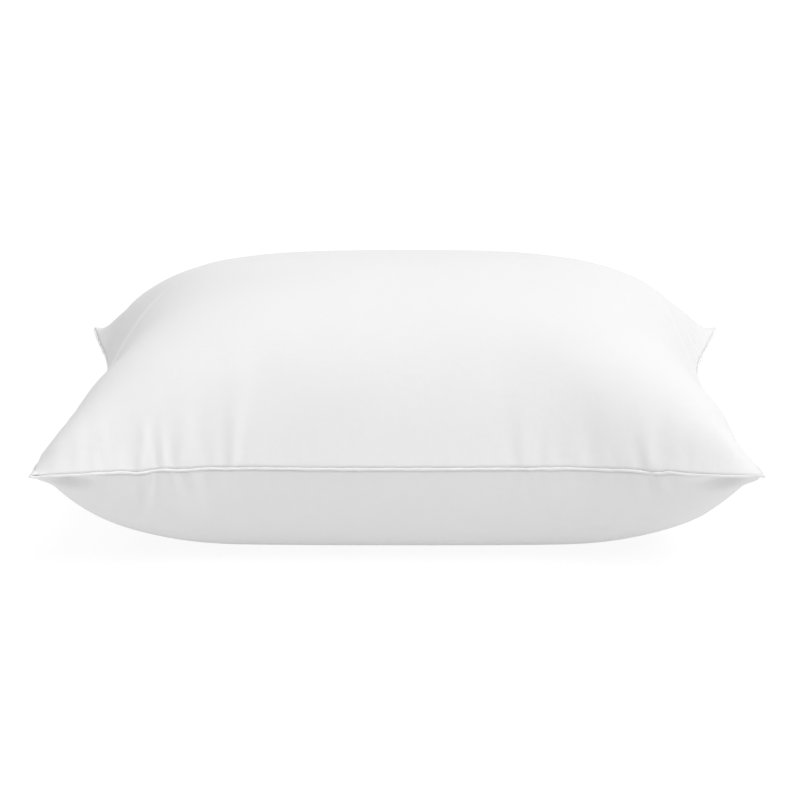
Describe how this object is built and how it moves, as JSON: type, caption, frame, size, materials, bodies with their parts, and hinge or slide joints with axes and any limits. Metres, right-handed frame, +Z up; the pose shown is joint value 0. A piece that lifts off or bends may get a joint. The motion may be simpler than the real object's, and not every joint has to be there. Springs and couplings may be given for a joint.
{
  "type": "bed pillow",
  "caption": "Plump rectangular bed pillow in white cotton ticking with a fine corded edge, gathered corners and a soft fibre filling, lying flat.",
  "frame": {"origin": "on the surface that the pillow lies on, under its middle", "axes": "+X along the long sides, +Y from the front long side to the back long side, +Z up through the pillow's thickness"},
  "size_m": [0.6208, 0.4742, 0.22],
  "materials": {
    "ticking": "matt plain-weave cotton",
    "piping": "matt plain-weave cotton cut on the bias",
    "cord": "twisted cotton",
    "thread": "spun polyester",
    "fibre": "fluffy carded fibre",
    "label": "woven satin"
  },
  "bodies": {
    "root": {"ticking_top": "ticking", "ticking_bottom": "ticking", "piping_cover": "piping", "piping_cord": "cord", "seam_needle_thread": "thread", "seam_bobbin_thread": "thread", "overlock_thread": "thread", "fill_wrap": "fibre", "fill_core": "fibre", "closing_needle_thread": "thread", "closing_bobbin_thread": "thread", "closing_tack_front": "thread", "closing_tack_back": "thread", "care_label": "label"}
  },
  "joints": []
}
